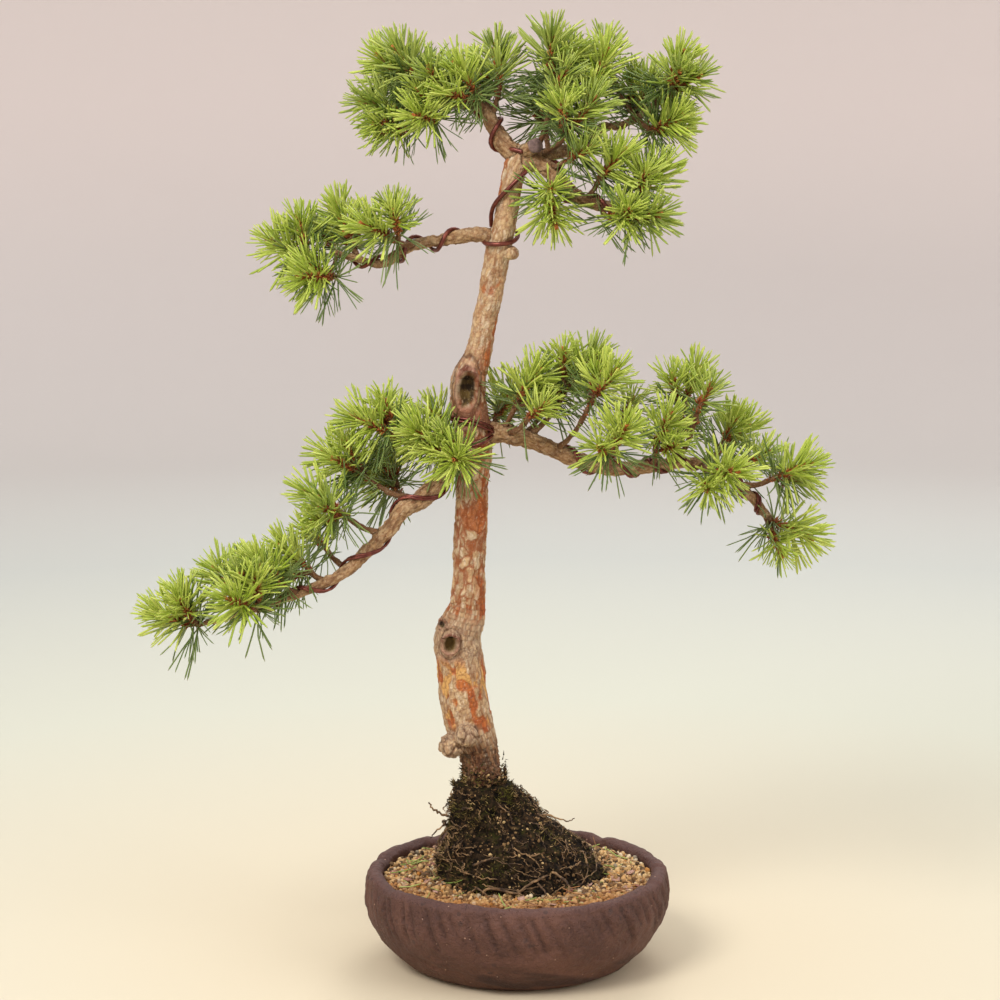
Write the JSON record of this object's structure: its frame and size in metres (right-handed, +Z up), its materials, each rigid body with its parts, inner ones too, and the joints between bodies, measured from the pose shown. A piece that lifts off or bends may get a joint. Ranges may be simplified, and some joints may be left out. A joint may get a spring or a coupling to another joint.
{
  "type": "potted bonsai pine",
  "caption": "Tall slender bonsai pine with wired limbs and open needle tufts, growing from a root mound in a round hand-made stoneware bowl.",
  "frame": {"origin": "middle of the bowl's flat base, on the surface it stands on", "axes": "+Z up the tree; -Y is the front, from which the cascading limb is on the left; +X to the right"},
  "size_m": [0.4458, 0.192, 0.5955],
  "materials": {
    "stoneware": "rough unglazed, scraped",
    "gritty_soil": "loose fired-clay grit",
    "root_muck": "damp fibrous muck with moss",
    "bark": "fissured flaking bark",
    "needles": "waxy pine needles on brown shoots",
    "anodised_wire": "brown anodised, satin",
    "plain_wire": "plain drawn",
    "screen_plastic": "matt",
    "cut_paste": "dull sealing paste"
  },
  "bodies": {
    "root": {"cut_paste_cap": "cut_paste", "drain_screen_left": "screen_plastic", "drain_screen_right": "screen_plastic", "needle_tuft_apex_back_01": "needles", "needle_tuft_apex_back_02": "needles", "needle_tuft_apex_back_03": "needles", "needle_tuft_apex_back_04": "needles", "needle_tuft_apex_back_05": "needles", "needle_tuft_apex_back_06": "needles", "needle_tuft_apex_back_07": "needles", "needle_tuft_apex_left_01": "needles", "needle_tuft_apex_left_02": "needles", "needle_tuft_apex_left_03": "needles", "needle_tuft_apex_left_04": "needles", "needle_tuft_apex_left_05": "needles", "needle_tuft_apex_left_06": "needles", "needle_tuft_apex_left_07": "needles", "needle_tuft_apex_right_01": "needles", "needle_tuft_apex_right_02": "needles", "needle_tuft_apex_right_03": "needles", "needle_tuft_apex_right_04": "needles", "needle_tuft_left_01": "needles", "needle_tuft_left_02": "needles", "needle_tuft_left_03": "needles", "needle_tuft_left_04": "needles", "needle_tuft_left_05": "needles", "needle_tuft_left_06": "needles", "needle_tuft_left_07": "needles", "needle_tuft_left_08": "needles", "needle_tuft_left_09": "needles", "needle_tuft_left_10": "needles", "needle_tuft_left_11": "needles", "needle_tuft_right_01": "needles", "needle_tuft_right_02": "needles", "needle_tuft_right_03": "needles", "needle_tuft_right_04": "needles", "needle_tuft_right_05": "needles", "needle_tuft_right_06": "needles", "needle_tuft_right_07": "needles", "needle_tuft_right_08": "needles", "needle_tuft_right_09": "needles", "needle_tuft_right_10": "needles", "needle_tuft_right_11": "needles", "needle_tuft_right_12": "needles", "needle_tuft_upper_left_01": "needles", "needle_tuft_upper_left_02": "needles", "needle_tuft_upper_left_03": "needles", "needle_tuft_upper_left_04": "needles", "pot": "stoneware", "root_mound": "root_muck", "screen_clip_left": "plain_wire", "screen_clip_right": "plain_wire", "soil": "gritty_soil", "tie_down_wire": "plain_wire", "training_wire_apex_left": "anodised_wire", "training_wire_apex_right": "anodised_wire", "training_wire_left": "anodised_wire", "training_wire_right": "anodised_wire", "training_wire_upper_left": "anodised_wire", "trunk_and_branches": "bark"}
  },
  "joints": []
}
